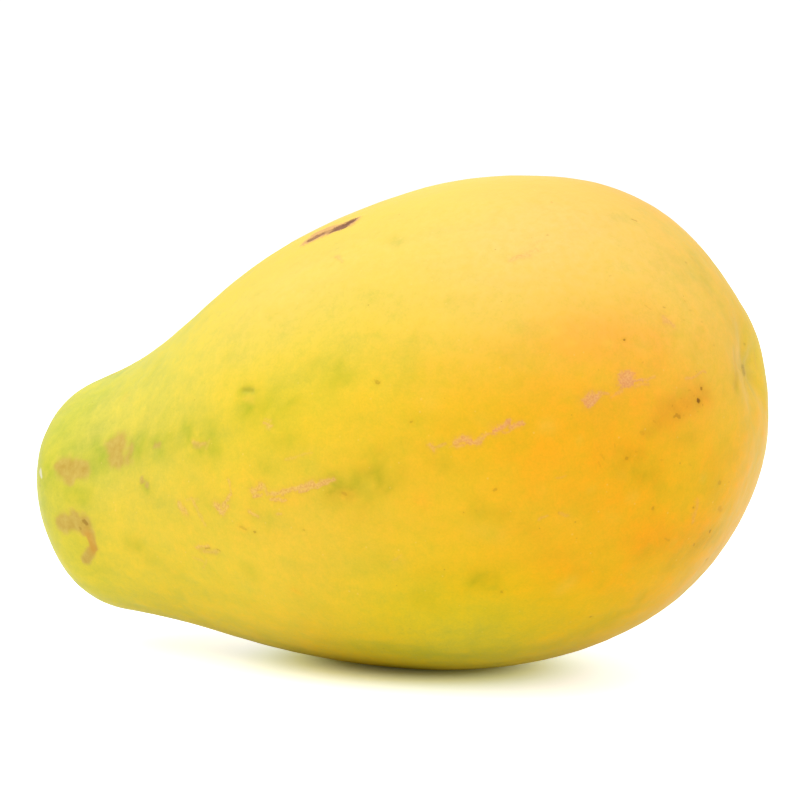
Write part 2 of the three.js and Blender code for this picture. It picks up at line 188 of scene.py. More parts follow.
ORANGE_PATCHES = [
    (73.2, -34.7, 37.5, 82.8, -19.8, 38.4, 4.88, 0.8), (58, -44.3, 33.7, 67.6, -30.7, 25.6, 3.9, 0.39),
    (67.4, -45.9, 66.9, 74.5, -39.7, 68.8, 3.9, 0.39), (82.5, -28.9, 70.9, 84.2, -26.3, 69, 3.42, 0.72),
    (62.5, -45, 82.9, 75.1, -34.4, 82.6, 5.86, 0.99), (78, -36.1, 66.5, 82.8, -29.2, 67.2, 2.93, 0.72),
    (-67.2, -29.5, 30.5, -66.1, -28.4, 26.8, 1.46, 0.89), (8.6, -56.6, 47.6, 13.6, -56.9, 47.6, 1.71, 0.92),
    (-4.7, -54, 44.9, 3.3, -55.6, 46.1, 1.95, 0.45), (48.6, -38.2, 99.9, 51.5, -36.2, 100.9, 2.44, 0.22),
    (83.2, -23.2, 80, 84.7, -15.4, 82.9, 3.42, 0.39), (70.6, -41.3, 47.1, 74, -37.8, 45.7, 2.93, 0.22),
    (-47.3, -35.2, 31.2, -46.1, -35.4, 30.8, 0.98, 0.11), (29.6, -56.5, 47, 30.7, -56.2, 46.1, 1.22, 0.88),
    (-5.5, -44.9, 23.2, -4.5, -44.8, 22.8, 1.1, 1), (-17.2, -48.7, 37.6, -15.6, -48.9, 37, 0.98, 0.67),
    (15.4, -55.5, 41.7, 19.5, -54.2, 37.3, 3.42, 0.16), (28.4, -58.2, 60.2, 32.7, -57.7, 56.9, 1.95, 0.19),
    (25.1, -58.3, 56.1, 26.9, -57.9, 53.5, 1.71, 0.17),
]
PALE_BLOTCHES = [
    (56.9, -51.8, 63.6, 58.1, -51.3, 63.5, 1.46, 0.74), (63.3, -44.8, 82.3, 64.7, -43.7, 82.7, 1.22, 0.2),
    (60.7, -46.7, 81.2, 61.3, -46.5, 81, 1.02, 1), (67.6, -42.4, 81.2, 68, -42.2, 81, 1.02, 1),
    (56.1, -47.7, 83.6, 57.7, -46.9, 84, 1.71, 0.88), (50.8, -51, 79.8, 52.1, -50.8, 79.4, 1.46, 0.1),
    (65.1, -46, 75.6, 67.1, -44.9, 75, 1.71, 0.1), (59.6, -50, 71.3, 60.8, -49.4, 70.8, 1.46, 0.1),
    (31.4, -57.2, 69.4, 32.6, -57.3, 68.4, 1.95, 0.48), (55.7, -50.9, 50.1, 56.3, -50.4, 49.3, 0.98, 0.2),
    (68.8, -41.6, 43.3, 69.6, -40.7, 42.8, 1.46, 0.24), (59, -47.7, 42.9, 60.6, -47.1, 43.8, 1.46, 0.12),
    (79.9, -27.8, 82.1, 80.6, -27, 81.7, 1.46, 0.61), (65.6, -37.8, 91.2, 67, -39.5, 87.3, 1.46, 0.12),
    (64.1, -31.3, 98.7, 65.2, -33.3, 96.2, 1.22, 0.17), (37.6, -23, 111.7, 39, -25.3, 110.4, 1.22, 0.2),
    (-14.6, -51.1, 67.3, -12.3, -52, 66.9, 0.85, 1), (-59.5, -24.8, 64, -58.5, -25.6, 63.9, 1.1, 0.65),
    (-82, -24.9, 45.3, -81.2, -25.9, 43.5, 0.68, 0.25), (67.4, -45.9, 60.4, 69.6, -44, 57.7, 2.2, 0.09),
    (67.4, -46, 64.9, 68.5, -45.2, 64, 1.71, 0.12), (73.6, -37.2, 80.6, 74.8, -36.6, 79.1, 1.71, 0.36),
    (68.9, -38.2, 86.8, 70.9, -37.1, 85.6, 1.95, 0.09), (45, -47.1, 90.3, 47.8, -47.3, 89.1, 2.44, 0.09),
    (43.6, -55.9, 64.9, 44.9, -55.7, 64, 1.46, 0.31), (61.4, -46, 41.7, 62.7, -45, 40.9, 1.46, 0.15),
    (48.7, -54.2, 54.4, 49.6, -53.8, 53.6, 1.46, 0.09), (33.5, -52.3, 83.8, 37.7, -51.7, 84.2, 1.46, 0.44),
    (23.4, -23.7, 110.8, 27.6, -24.5, 110.8, 1.22, 0.12), (50.9, -50.8, 80.3, 50.4, -52, 77.3, 0.98, 0.32),
    (83.7, -25.1, 75.5, 84.8, -23.5, 74.1, 1.46, 0.1), (74.5, -40, 62.4, 76.7, -37.8, 63.5, 1.95, 0.07),
    (61, -42.5, 33.5, 62.4, -40.7, 32, 1.46, 0.1), (56.7, -40.2, 26.3, 59.5, -40.4, 28.8, 1.46, 0.65),
    (21.5, -51.8, 31.2, 24.5, -52.2, 32.4, 1.22, 0.28), (43.3, -54.7, 49.1, 44.2, -54.9, 50.9, 1.22, 0.12),
    (66.4, -42.1, 39.9, 68, -40.3, 38.8, 1.46, 0.09), (59.8, -50.2, 57.4, 60.9, -49.5, 56.3, 1.46, 0.07),
    (40.4, -53.2, 40.5, 46.6, -51.2, 39.2, 1.95, 0.37),
]
PITS = [
    (-15.3, -50.3, 69, -12.8, -51.3, 69, 0.78, 1),
]
VALLEY = [
    (84.8, -25.2, 69.3, 80.5, -32.7, 66.3, 2.68, 1), (80.5, -32.7, 66.3, 76.2, -38.2, 62.3, 2.2, 0.7),
    (87.1, -8.4, 77.1, 88.9, -13.4, 69.9, 0.88, 0.8),
]
FLECK = [
    (-83.6, -23.7, 44.8, -82.8, -24.7, 43.5, 0.78, 1), (-81.7, -25.6, 42.9, -81.6, -25.7, 42.7, 0.37, 0.6),
]
# Slow colour changes: x, y, z, ripeness, lightness, painted sheen (a whitish tint standing in for the soft highlight,
# mostly on the crown)
ZONES = [
    (-65, -29, 53, -0.04, -0.03, 0.027), (-61, -29, 25, 0.14, 0.08, 0.010),
    (-35, -40, 68, -0.11, 0.02, 0.020), (-34, -44, 41, 0.08, -0.00, 0.008),
    (-18, -38, 18, -0.02, 0.11, 0.010), (-11, -37, 91, 0.01, -0.03, 0.060),
    (-8, -54, 66, -0.09, 0.02, -0.008), (0, -53, 38, 0.08, 0.03, 0.023),
    (15, -52, 82, -0.11, 0.01, 0.007), (16, -44, 19, -0.14, -0.00, -0.006),
    (17, -30, 106, -0.12, -0.04, 0.034), (20, -58, 59, 0.00, 0.01, 0.005),
    (33, -54, 40, -0.07, 0.04, 0.007), (41, -47, 91, -0.16, -0.03, 0.041),
    (46, -38, 18, -0.14, -0.02, -0.010), (47, -55, 70, 0.06, 0.04, -0.014),
    (49, -27, 108, -0.10, -0.08, 0.057), (57, -50, 47, -0.10, 0.01, 0.009),
    (67, -40, 87, -0.05, 0.06, 0.017), (71, -32, 31, 0.01, 0.05, 0.002),
    (72, -17, 100, -0.20, -0.04, 0.037), (74, -41, 62, 0.11, 0.03, -0.006),
    (86, -20, 48, -0.15, 0.01, -0.004), (87, -16, 76, -0.04, 0.06, 0.026),
    (-40, 38, 50, -0.10, 0.02, 0.010), (-5, 46, 72, -0.12, 0.03, 0.010),
    (10, 50, 40, 0.08, 0.00, 0.000), (40, 54, 78, 0.10, 0.04, 0.010),
    (45, 48, 36, -0.14, -0.02, 0.000), (72, 36, 60, -0.08, 0.02, 0.010),
    (20, 0, 112, -0.06, 0.05, 0.030), (-60, 0, 62, -0.06, 0.00, 0.020),
    (82, 30, 90, -0.46, 0.00, 0.020), (86, 28, 64, -0.40, 0.08, 0.020),
    (64, 32, 22, -0.30, -0.06, 0.000),
]
ZONE_REACH = 24.0


def spline(control, t, rate=False):
    c = np.asarray(control, float)
    n = len(c) - 3
    s = np.clip(t, 0, 1) * n
    i = np.minimum(np.floor(s).astype(int), n - 1)
    f = s - i
    if rate:
        return n * (-3 * (1 - f) ** 2 * c[i] + (9 * f ** 2 - 12 * f) * c[i + 1]
                    + (-9 * f ** 2 + 6 * f + 3) * c[i + 2] + 3 * f ** 2 * c[i + 3]) / 6
    return ((1 - f) ** 3 * c[i] + (3 * f ** 3 - 6 * f ** 2 + 4) * c[i + 1]
            + (-3 * f ** 3 + 3 * f ** 2 + 3 * f + 1) * c[i + 2] + f ** 3 * c[i + 3]) / 6


def ease(a, b, x):
    t = np.clip((x - a) / (b - a), 0, 1)
    return t * t * (3 - 2 * t)


def skin(u, th):
    u, th = np.broadcast_arrays(np.asarray(u, float), np.asarray(th, float))
    x = -HALF_LENGTH * np.cos(np.pi * u)
    rounding = np.sin(np.pi * u)
    rho = rounding * spline(GIRTH, u)
    t = (x + HALF_LENGTH) / (2 * HALF_LENGTH)
    z = spline(CORE_HEIGHT, t)
    rise = spline(CORE_HEIGHT, t, True) / (2 * HALF_LENGTH)
    norm = np.sqrt(1 + rise * rise)
    tx, tz = 1 / norm, rise / norm
    crest = ((1 + np.cos(LOBES * (th - LOBE_PHASE))) / 2) ** (0.7 + 0.5 * ease(0.78, 0.94, u)) - 0.6
    lobe = (LOBE_NECK + (LOBE_BELLY - LOBE_NECK) * ease(0.2, 0.6, u)
            + (LOBE_END - LOBE_BELLY) * ease(0.80, 0.97, u))
    lump = sum(a * np.sin(k * x + m * th + p) for k, m, p, a in LUMPS) * rounding
    r = rho * (1 + lobe * crest) + lump
    rear = ((1 + np.cos(th - END_LIFT_AT)) / 2) ** 2
    push = np.where(
        u > 0.5,
        -END_HOLLOW_DEPTH * np.exp(-(rho / (END_HOLLOW_REACH * (1 + 0.16 * crest))) ** 2)
        + END_LIFT * np.exp(-((rho - 14) / 7) ** 2) * rear,
        STALK_HOLLOW_DEPTH * np.exp(-(rho / STALK_HOLLOW_REACH) ** 2)
        - STALK_SCAR_RISE * (1 - ease(STALK_SCAR_RADIUS - 1, STALK_SCAR_RADIUS + 1, rho)))
    s, c = np.sin(th), np.cos(th)
    return np.stack([x - r * s * tz + push * tx, -r * c, z + r * s * tx + push * tz], -1) - SHIFT


# ---------------------------------------------------------------------------
# Helpers for relief and soft patches
# ---------------------------------------------------------------------------
rng = np.random.default_rng(20261)
LATTICE = rng.uniform(-1, 1, (32, 32, 32))


def lump_noise(p, size, offset=0.0):
    q = p / size + offset + 64
    i = np.floor(q).astype(int)
    f = q - i
    f = f * f * f * (f * (6 * f - 15) + 10)
    total = 0.0
    for dx in (0, 1):
        wx = f[..., 0] if dx else 1 - f[..., 0]
        for dy in (0, 1):
            wy = f[..., 1] if dy else 1 - f[..., 1]
            for dz in (0, 1):
                wz = f[..., 2] if dz else 1 - f[..., 2]
                total = total + wx * wy * wz * LATTICE[(i[..., 0] + dx) % 32, (i[..., 1] + dy) % 32,
                                                       (i[..., 2] + dz) % 32]
    return total


def layered(p, size, layers=3, offset=0.0):
    return sum(0.55 ** k * lump_noise(p, size / 2 ** k, offset + 5.3 * k) for k in range(layers))


def reach_of(p, row):
    a, b = np.array(row[:3]), np.array(row[3:6])
    ab = b - a
    along = np.clip(((p - a) @ ab) / max(ab @ ab, 1e-9), 0, 1)
    return np.linalg.norm(p - a - along[..., None] * ab, axis=-1) / row[6]


def patches(p, rows, soft=1.0):
    """The strength of the nearest soft patch, falling away round it."""
    best = np.zeros(len(p))
    for row in rows:
        best = np.maximum(best, row[7] * np.exp(-(reach_of(p, row) / soft) ** 2))
    return best


def nearest(p, rows):
    """Distance to the nearest mark over its half width, at most 4, and its strength."""
    best, strength = np.full(len(p), 4.0), np.zeros(len(p))
    for row in rows:
        d = reach_of(p, row)
        strength = np.where(d < best, row[7], strength)
        best = np.minimum(best, d)
    return best, strength


# marks for the sides that the front view doesn't show, spread by a fixed seed
def far_points(count, low=0.12, high=0.92):
    found = []
    while len(found) < count:
        u, th = rng.uniform(low, high), rng.uniform(0, 2 * math.pi)
        p = skin(u, th)
        if p[2] > 12 and (p[0] * math.sin(math.radians(22)) - p[1] * math.cos(math.radians(22))) < -8:
            found.append((u, th))
    return found


def far_marks(count, length, width, strength, low=0.12, high=0.92):
    rows = []
    for u, th in far_points(count, low, high):
        turn, reach = rng.uniform(0, math.pi), rng.uniform(*length)
        rows.append((*skin(u, th), *skin(u + reach * math.cos(turn) / 210, th + reach * math.sin(turn) / 52),
                     rng.uniform(*width), rng.uniform(*strength)))
    return rows


def far_trails(count, steps):
    """Broken lines of corky scar that wander over the skin."""
    rows = []
    for u, th in far_points(count, 0.2, 0.85):
        heading = rng.uniform(-0.7, 0.7)
        for _ in range(steps):
            reach = rng.uniform(1.2, 4.0)
            u2, th2 = u + reach * math.cos(heading) / 210, th + reach * math.sin(heading) / 52
            if rng.uniform() > 0.25:
                rows.append((*skin(u, th), *skin(u2, th2), rng.uniform(0.3, 0.8), rng.uniform(0.5, 1.0)))
            u, th = u2, th2
            heading += rng.uniform(-0.9, 0.9)
    return rows


TAN_PATCHES += far_marks(4, (2.0, 6.0), (1.6, 3.0), (0.5, 0.9))
GREEN_PATCHES += far_marks(26, (2.0, 12.0), (2.0, 5.0), (0.25, 0.8))
ORANGE_PATCHES += far_marks(8, (2.0, 10.0), (2.5, 5.0), (0.3, 0.7))
PALE_BLOTCHES += far_marks(24, (0.2, 1.6), (1.0, 1.9), (0.35, 0.8))
PITS += far_marks(1, (0.8, 0.9), (0.7, 0.8), (0.9, 1.0))
DARK_SPECKS += far_marks(34, (0.0, 0.5), (0.22, 0.48), (0.3, 0.9))
CORK_MARKS += far_trails(4, 8) + far_marks(5, (1.0, 2.5), (0.4, 0.9), (0.5, 1.0))
BLOTCHES = [(*skin(u, th), *skin(u, th), r, w) for u, th, r, w in
            zip(rng.uniform(0.35, 0.95, 110), rng.uniform(0, 2 * math.pi, 110),
                rng.uniform(0.8, 1.9, 110), rng.uniform(0.2, 0.8, 110))]

# ---------------------------------------------------------------------------
# The fruit: one closed skin, its mesh finer where there are small marks
# ---------------------------------------------------------------------------
RINGS, SEGMENTS = 210, 264
v = np.arange(RINGS + 1) / RINGS
U = v - 0.35 * np.sin(2 * np.pi * v) / (2 * np.pi)
TH = np.arange(SEGMENTS) / SEGMENTS * 2 * np.pi - math.pi / 2
stalk_pole, blossom_pole = skin(0.0, 0.0), skin(1.0, 0.0)
uu, tt = np.broadcast_arrays(U[1:-1, None], TH[None])
uu = np.concatenate([[0.0], uu.ravel(), [1.0]])
tt = np.concatenate([[0.0], tt.ravel(), [0.0]])
verts = skin(uu, tt)
n = SEGMENTS
last = len(verts) - 1
faces, uvs = [], []
for j in range(n):
    k = (j + 1) % n
    s0, s1 = j / n, (j + 1) / n
    faces.append((0, 1 + j, 1 + k))
    uvs += [((s0 + s1) / 2, 0.0), (s0, v[1]), (s1, v[1])]
    for i in range(RINGS - 2):
        a, b = 1 + i * n, 1 + (i + 1) * n
        faces.append((a + j, b + j, b + k, a + k))
        uvs += [(s0, v[i + 1]), (s0, v[i + 2]), (s1, v[i + 2]), (s1, v[i + 1])]
    a = 1 + (RINGS - 2) * n
    faces.append((a + j, last, a + k))
    uvs += [(s0, v[RINGS - 1]), ((s0 + s1) / 2, 1.0), (s1, v[RINGS - 1])]
mesh = bpy.data.meshes.new("papaya_skin")
mesh.from_pydata((verts / 1000).tolist(), [], faces)
layer = mesh.uv_layers.new(name="OFBake")
layer.uv.foreach_set("vector", (0.002 + 0.996 * np.array(uvs)).ravel())
for name, values in (("u", uu), ("th", tt)):
    mesh.attributes.new(name, "FLOAT", "POINT").data.foreach_set("value", values.astype(np.float32))

bm = bmesh.new()
bm.from_mesh(mesh)
SMALL = CORK_MARKS + DARK_SPECKS + RUB_SCAR + RUB_EDGE + PITS
for reach in (1.9, 0.8):
    centre = np.array([f.calc_center_median()[:] for f in bm.faces]) * 1000
    close = np.zeros(len(centre), bool)
    for r in SMALL:
        a, b = np.array(r[:3]), np.array(r[3:6])
        near = np.flatnonzero(np.abs(centre - (a + b) / 2).max(-1) < 8 + np.linalg.norm(b - a) / 2)
        if len(near):
            q, ab = centre[near], b - a
            t = np.clip(((q - a) @ ab) / max(ab @ ab, 1e-9), 0, 1)
            close[near[np.linalg.norm(q - a - t[:, None] * ab, axis=-1) < r[6] + reach]] = True
    bm.faces.ensure_lookup_table()
    bm.edges.index_update()
    edges = list({e for i in np.flatnonzero(close) for e in bm.faces[i].edges})
    edges.sort(key=lambda e: e.index)
    bmesh.ops.subdivide_edges(bm, edges=edges, cuts=1, use_grid_fill=True, use_single_edge=True,
                              quad_corner_type="INNER_VERT")
bmesh.ops.triangulate(bm, faces=[f for f in bm.faces if len(f.verts) > 4])
bm.to_mesh(mesh)
bm.free()

count = len(mesh.vertices)
uu, tt = np.empty(count, np.float32), np.empty(count, np.float32)
mesh.attributes["u"].data.foreach_get("value", uu)
mesh.attributes["th"].data.foreach_get("value", tt)
uu, tt = uu.astype(float), tt.astype(float)
for name in ("u", "th"):
    mesh.attributes.remove(mesh.attributes[name])
P = skin(uu, tt)
E = 1e-4
NORMAL = np.cross(skin(uu + E, tt) - skin(uu - E, tt), skin(uu, tt + E) - skin(uu, tt - E))
size = np.linalg.norm(NORMAL, axis=-1, keepdims=True)
NORMAL = NORMAL / np.maximum(size, 1e-12)
if ((P - P.mean(0)) * NORMAL).sum() < 0:
    NORMAL = -NORMAL
pole = (uu < 1e-6) | (uu > 1 - 1e-6)

# small marks get wandering edges: the skin point is shifted along the skin
shift = np.stack([lump_noise(P, 1.3, 21.0 + 7 * k) for k in range(3)], -1) * 0.30
shift += np.stack([lump_noise(P, 3.1, 51.0 + 7 * k) for k in range(3)], -1) * 0.35
shift -= NORMAL * (shift * NORMAL).sum(-1, keepdims=True)
Q = P + shift
cork_d, cork_w = nearest(Q, CORK_MARKS)
speck_d, speck_w = nearest(P + 0.3 * shift, DARK_SPECKS)
rub_d, rub_w = nearest(Q, RUB_SCAR)
edge_d, halo = nearest(Q, RUB_EDGE)[0], patches(Q, RUB_HALO)
blotch_d, blotch_w = nearest(P + 0.8 * shift, BLOTCHES)
blotch = blotch_w * (1 - ease(0.55, 1.15, blotch_d))
green, tan, pale = patches(Q, GREEN_PATCHES, 1.15), patches(Q, TAN_PATCHES, 0.95), patches(Q, PALE_BLOTCHES)
orange, valley, pit = patches(P, ORANGE_PATCHES, 1.1), patches(P, VALLEY), patches(P, PITS)

from_stalk = np.linalg.norm(P - stalk_pole, axis=-1)
from_blossom = np.linalg.norm(P - blossom_pole, axis=-1)
sweep, cloud = layered(P, 17.0, 2), layered(P, 4.6, 3, 3.3)
streak = layered(P * np.array([0.17, 1, 1]), 2.7, 2, 11.1)
relief = 0.085 * sweep + 0.040 * cloud + 0.030 * streak
relief += 0.09 * cork_w * (1 - ease(0.5, 1.3, cork_d)) * (0.8 + 0.5 * lump_noise(P, 0.7, 13.0))
relief -= 0.12 * speck_w * (1 - ease(0.3, 1.2, speck_d))
relief -= 0.40 * pit ** 1.5
relief -= 0.06 * tan * (0.7 + 0.5 * lump_noise(P, 1.8, 5.0))
relief -= 0.12 * valley
relief += 0.09 * (1 - ease(0.6, 1.4, edge_d)) - 0.26 * rub_w * (1 - ease(0.4, 1.1, rub_d))
# stalk scar: a raised broken rim, a sunken corky face with spokes and rings
rim = np.exp(-((from_stalk - 6.3 - 0.35 * lump_noise(P, 2.2, 1.0)) / 0.75) ** 2)
face = 1 - ease(4.6, 6.0, from_stalk)
relief += 0.42 * rim * (0.8 + 0.4 * lump_noise(P, 1.6, 2.0))
relief -= face * (0.55 + 0.16 * np.cos(17 * tt + 1.2 * lump_noise(P, 2.5, 4.0)) * ease(0.8, 2.6, from_stalk)
                  + 0.16 * lump_noise(P, 0.9, 8.0) - 0.14 * np.cos(from_stalk * 3.4))
relief -= 0.10 * np.exp(-((from_stalk - 9.5) / 3.2) ** 2) * np.cos(23 * tt + 2 * lump_noise(P, 5.0, 6.0))
# blossom end: a small dried nub in the middle of the hollow, faint folds round it
relief += 0.30 * np.exp(-(from_blossom / 1.5) ** 2) * (0.8 + 0.6 * lump_noise(P, 0.7, 9.0))
relief -= 0.10 * np.exp(-((from_blossom - 4.5) / 3.0) ** 2) * (0.5 + 0.5 * np.cos(LOBES * (tt - LOBE_PHASE)))
relief += 0.06 * np.exp(-((from_blossom - 4.5) / 3.0) ** 2) * layered(P, 2.4, 2, 17.0)
relief *= ease(0.0, 1.2, np.minimum(from_stalk, from_blossom) + 0.35)
relief *= ease(0.0, 2.5, P[:, 2])            # flat where the fruit rests
relief[pole] = 0
P = P + NORMAL * relief[:, None]
P[uu < 1e-6] += [0.45, 0, 0]
P[uu > 1 - 1e-6] += [0.35, 0, 0]
P[:, 2] = np.maximum(P[:, 2], 0)
mesh.vertices.foreach_set("co", (P / 1000).astype(np.float32).ravel())
mesh.polygons.foreach_set("use_smooth", [True] * len(mesh.polygons))
mesh.update()
print("triangles", sum(len(p.vertices) - 2 for p in mesh.polygons))

# colour fields, one value per vertex
table = np.array(ZONES)
weights = np.exp(-((P[:, None] - table[None, :, :3]) ** 2).sum(-1) / ZONE_REACH ** 2)
# the third column is painted sheen, a whitish tint in place of the soft highlight
ripe, light, painted_sheen = (weights @ table[:, 3:]).T
ripe = ripe + 0.05 + 0.85 * np.clip((P[:, 0] + 85) / 140, 0, 1)
on_orange = ease(0.45, 0.85, ripe)
pale = np.maximum(pale, blotch * (0.15 + 0.5 * on_orange))
green = 0.85 * green * (0.8 + 0.6 * layered(P, 2.6, 3, 31.0)) + 0.15 * ease(0.45, 0.95, layered(P, 7.0, 4, 41.0))
under = ease(36.0, 6.0, P[:, 2]) * ease(-10.0, 40.0, P[:, 0])
ripe = np.clip(ripe - 0.34 * under + 0.05 * sweep + 0.055 * cloud + 0.035 * streak + 0.13 * orange, 0, 1.05)
light = light + 0.02 * sweep + 0.03 * cloud + 0.04 * streak
scar_edge = from_stalk + 0.9 * layered(P, 2.0, 3, 61.0)
tip_edge = from_blossom + 0.5 * layered(P, 1.2, 2, 71.0)
latex = ease(0.15, 0.4, layered(P, 3.0, 2, 81.0))
fleck = patches(Q, FLECK)
for name, values in (("tone", (ripe, light, np.maximum(painted_sheen, 0))), ("marks", (np.clip(green, 0, 1), tan, pale)),
                     ("scars", (cork_d, speck_d, rub_d)), ("weights", (cork_w, speck_w, rub_w)),
                     ("rub", (edge_d, halo, valley)), ("ends", (scar_edge, tip_edge, latex)),
                     ("extra", (pit, orange, on_orange)), ("dry", (fleck, fleck, fleck))):
    att = mesh.attributes.new(name, "FLOAT_VECTOR", "POINT")
    att.data.foreach_set("vector", np.stack(values, -1).astype(np.float32).ravel())

fruit = bpy.data.objects.new("papaya_skin", mesh)
bpy.context.scene.collection.objects.link(fruit)
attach(fruit, "root")
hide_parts("papaya")

# ---------------------------------------------------------------------------
# Rind material
# ---------------------------------------------------------------------------
rind = bpy.data.materials.new("rind")
rind.use_nodes = True
tree = rind.node_tree
shader = tree.nodes["Principled BSDF"]


def put(socket, value):
    if isinstance(value, bpy.types.NodeSocket):
        tree.links.new(value, socket)
    else:
        socket.default_value = value


def math_node(op, a, b=None, c=None, clamp=False):
    node = tree.nodes.new("ShaderNodeMath")
    node.operation, node.use_clamp = op, clamp
    for i, value in enumerate((a, b, c)):
        if value is not None:
            put(node.inputs[i], value)
    return node.outputs[0]


def vector_node(op, a, b=None, scale=None):
    node = tree.nodes.new("ShaderNodeVectorMath")
    node.operation = op
    put(node.inputs[0], a)
    if b is not None:
        put(node.inputs[1], b)
    if scale is not None:
        put(node.inputs["Scale"], scale)
    return node.outputs["Value" if op in ("LENGTH", "DISTANCE", "DOT_PRODUCT") else "Vector"]


def step(value, low, high, to_low=0.0, to_high=1.0, smooth=True):
    node = tree.nodes.new("ShaderNodeMapRange")
    node.interpolation_type = "SMOOTHSTEP" if smooth else "LINEAR"
    put(node.inputs["Value"], value)
    for key, number in (("From Min", low), ("From Max", high), ("To Min", to_low), ("To Max", to_high)):
        put(node.inputs[key], number)
    return node.outputs["Result"]


def blend(fac, a, b, kind="MIX"):
    node = tree.nodes.new("ShaderNodeMix")
    node.data_type, node.blend_type = "RGBA", kind
    put(node.inputs["Factor"], fac)
    for socket, value in ((node.inputs[6], a), (node.inputs[7], b)):
        put(socket, (*value, 1.0) if isinstance(value, tuple) and len(value) == 3 else value)
    return node.outputs[2]


def noise(vector, scale, detail=2.0, rough=0.5, twist=0.0, colour=False):
    node = tree.nodes.new("ShaderNodeTexNoise")
    put(node.inputs["Vector"], vector)
    for key, number in (("Scale", scale), ("Detail", detail), ("Roughness", rough), ("Distortion", twist)):
        put(node.inputs[key], number)
    return node.outputs["Color" if colour else "Fac"]


def parts(vector):
    node = tree.nodes.new("ShaderNodeSeparateXYZ")
    put(node.inputs[0], vector)
    return node.outputs[0], node.outputs[1], node.outputs[2]


def attribute(name):
    node = tree.nodes.new("ShaderNodeAttribute")
    node.attribute_name = name
    return parts(node.outputs["Vector"])


coords = tree.nodes.new("ShaderNodeTexCoord").outputs["Object"]
mm = vector_node("SCALE", coords, scale=1000.0)
ripe_f, light_f, painted_sheen_f = attribute("tone")
green_f, tan_f, pale_f = attribute("marks")
cork_d, speck_d, rub_d = attribute("scars")
cork_w, speck_w, rub_w = attribute("weights")
edge_d, halo_f, furrow_painted_shade = attribute("rub")
stalk_d, tip_d, latex_f = attribute("ends")
pit_f, orange_f, on_orange_f = attribute("extra")


def around(value, amount, centre=0.5):
    """Noise turned into a small change about nothing."""
    return math_node("MULTIPLY", math_node("SUBTRACT", value, centre), amount)


# two grains: 2 mm crumb and a half-millimetre grit
crumb = step(noise(mm, 0.52, 3.0, 0.62), 0.28, 0.72, smooth=False)
grit = step(noise(mm, 2.1, 1.0, 0.5), 0.25, 0.75, smooth=False)

# ground colour: green-yellow neck to orange belly
ramp = tree.nodes.new("ShaderNodeValToRGB")
ramp.color_ramp.interpolation = "LINEAR"
RIPENING = [(0.0, (0.44, 0.44, 0.030)), (0.19, (0.51, 0.445, 0.020)), (0.38, (0.57, 0.43, 0.010)),
            (0.57, (0.61, 0.39, 0.005)), (0.76, (0.63, 0.34, 0.004)), (0.95, (0.66, 0.285, 0.003))]
while len(ramp.color_ramp.elements) < len(RIPENING):
    ramp.color_ramp.elements.new(0.5)
for element, (at, colour) in zip(ramp.color_ramp.elements, RIPENING):
    element.position = at
    element.color = (*colour, 1)
put(ramp.inputs["Fac"], math_node("MULTIPLY", math_node("ADD", ripe_f, math_node("ADD", around(crumb, 0.11), around(grit, 0.05))), 0.95))
lightness = math_node("ADD", math_node("ADD", 1.0, light_f), math_node("ADD", around(crumb, 0.09), around(grit, 0.085)))
colour = vector_node("SCALE", ramp.outputs["Color"], scale=lightness)

# painted sheen: a whitish tint on the crown standing in for the soft overhead highlight
colour = blend(math_node("MULTIPLY", painted_sheen_f, math_node("ADD", 2.4, crumb)), colour, (0.78, 0.56, 0.34))
# pale roundish blotches
colour = blend(math_node("MULTIPLY", pale_f, math_node("ADD", 0.30, math_node("MULTIPLY", crumb, 0.20))), colour, (0.66, 0.43, 0.050))
# green that hasn't turned yet
green_n = math_node("MULTIPLY", green_f, math_node("ADD", 0.70, math_node("MULTIPLY", crumb, 0.34)), clamp=True)
colour = blend(green_n, colour, vector_node("MULTIPLY", colour, (0.60, 0.79, 0.50)))
# painted shade: the furrow beside the ridge darkened as if in its own shadow
colour = blend(math_node("MULTIPLY", furrow_painted_shade, math_node("ADD", 0.12, math_node("MULTIPLY", crumb, 0.38))), colour, (0.46, 0.22, 0.008))

# tan leathery patches, mottled by the crumb grain and redder where orange patches lie under them
tan_n = math_node("ADD", tan_f, around(crumb, 0.30))
tan_on = step(tan_n, 0.14, 0.74)
tan_col = blend(crumb, (0.42, 0.255, 0.045), (0.49, 0.35, 0.080))
colour = blend(math_node("MULTIPLY", tan_on, 0.86), colour, tan_col)
colour = blend(math_node("MULTIPLY", math_node("MULTIPLY", orange_f, tan_on), 0.60), colour, (0.52, 0.21, 0.016))

# pink corky scars
cork_r = math_node("ADD", cork_d, math_node("ADD", around(grit, 0.7), around(crumb, 1.0)))
cork_on = math_node("MULTIPLY", step(cork_r, 1.55, 0.30), cork_w)
cork_col = blend(grit, (0.56, 0.185, 0.095), (0.66, 0.35, 0.15))
cork_col = blend(on_orange_f, blend(grit, (0.55, 0.255, 0.060), (0.72, 0.47, 0.15)), cork_col)
colour = blend(math_node("MULTIPLY", step(math_node("ADD", cork_d, around(crumb, 1.2)), 3.2, 0.9), math_node("MULTIPLY", cork_w, 0.20)), colour, (0.56, 0.28, 0.045))
colour = blend(math_node("MULTIPLY", cork_on, 0.70), colour, cork_col)

# rubbed scar on the crown
colour = blend(math_node("MULTIPLY", halo_f, 0.30), colour, (0.74, 0.42, 0.25))
edge_on = step(math_node("ADD", edge_d, around(grit, 0.5)), 1.15, 0.65)
colour = blend(math_node("MULTIPLY", edge_on, 0.66), colour, (0.47, 0.22, 0.12))
rub_on = math_node("MULTIPLY", step(math_node("ADD", rub_d, around(grit, 0.5)), 1.15, 0.65), rub_w)
colour = blend(math_node("MULTIPLY", rub_on, 0.90), colour, blend(crumb, (0.11, 0.040, 0.022), (0.21, 0.10, 0.065)))

